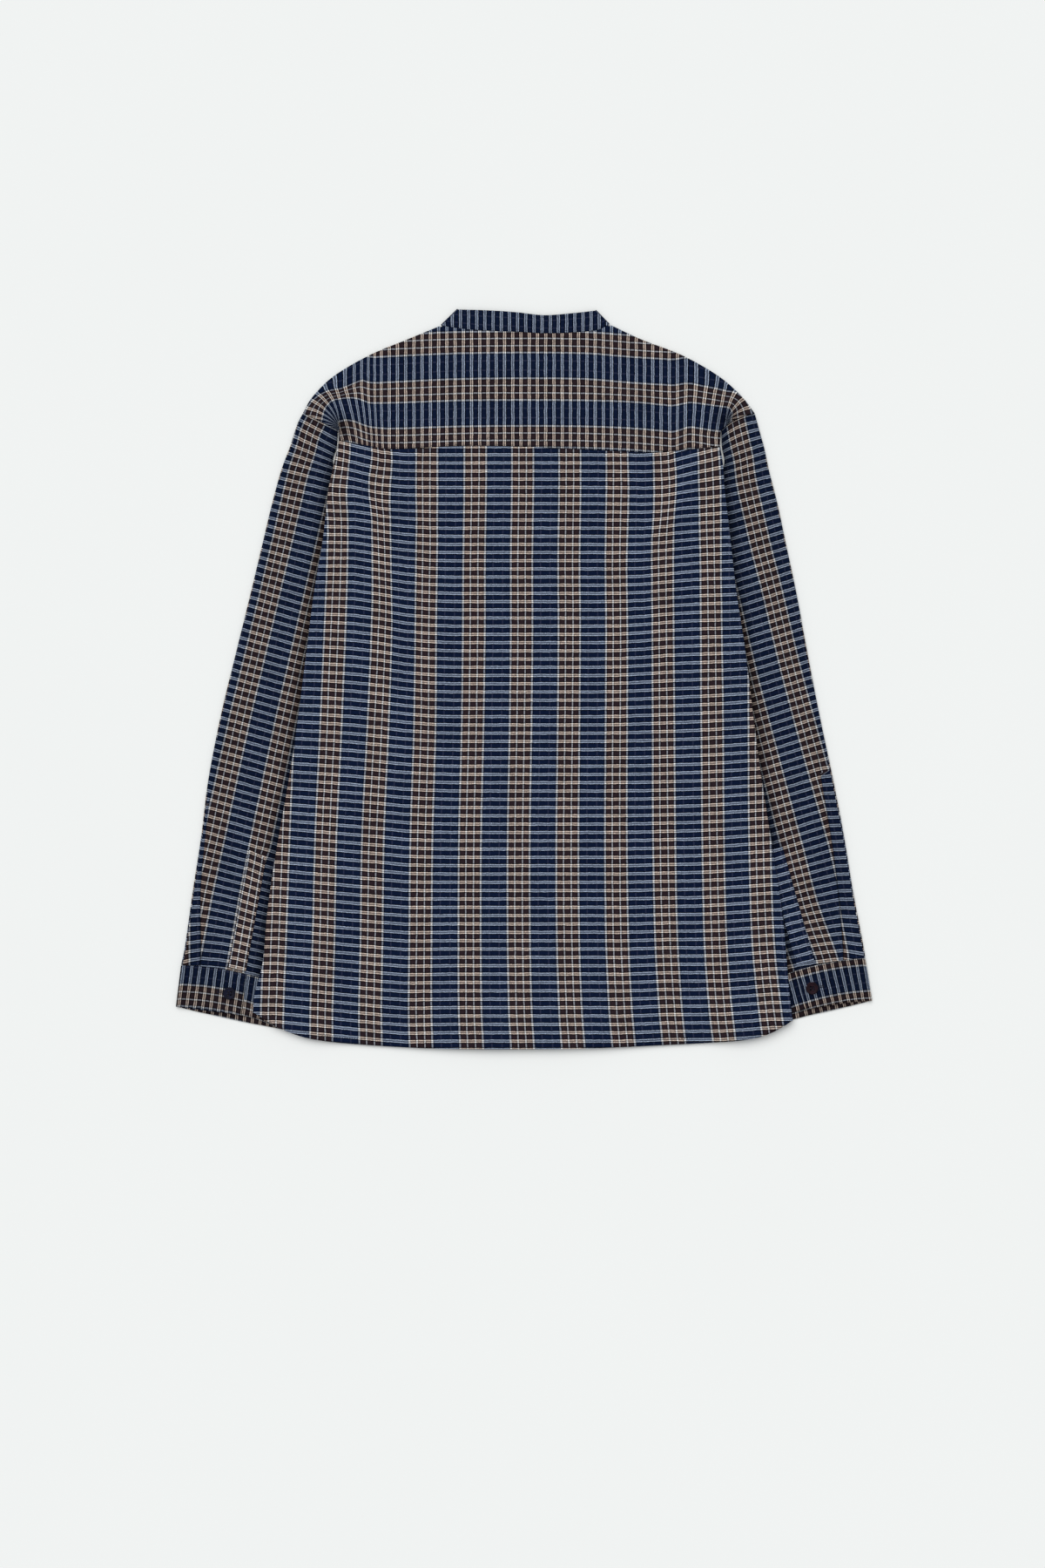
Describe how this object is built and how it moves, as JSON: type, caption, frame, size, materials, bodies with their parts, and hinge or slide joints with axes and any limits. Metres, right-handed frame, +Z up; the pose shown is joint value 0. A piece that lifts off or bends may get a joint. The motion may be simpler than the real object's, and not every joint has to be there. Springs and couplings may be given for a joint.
{
  "type": "band-collar shirt, laid flat",
  "caption": "Long-sleeved band-collar shirt of checked yarn-dyed cloth, laid flat face down with its sleeves at its sides and a curved hem.",
  "frame": {"origin": "on the surface the shirt lies on, under the middle of its outline", "axes": "+X to the right as it lies with the back on top, +Y towards the collar, +Z up from the surface"},
  "size_m": [0.7355, 0.7813, 0.0088],
  "materials": {
    "cloth": "navy and brown yarn-dyed check, matt",
    "button_navy": "dark navy, polished",
    "button_wine": "dark wine brown, polished"
  },
  "bodies": {
    "root": {"back": "cloth", "yoke": "cloth", "collar": "cloth", "front_placket": "cloth", "front_left": "cloth", "front_right": "cloth", "sleeve_left": "cloth", "sleeve_right": "cloth", "cuff_left": "cloth", "cuff_right": "cloth", "sleeve_placket_left": "cloth", "sleeve_placket_right": "cloth", "cuff_button_left": "button_navy", "cuff_button_right": "button_wine", "collar_button": "button_wine", "front_button_1": "button_wine", "front_button_2": "button_wine", "front_button_3": "button_wine", "front_button_4": "button_wine", "front_button_5": "button_wine", "front_button_6": "button_wine"}
  },
  "joints": []
}
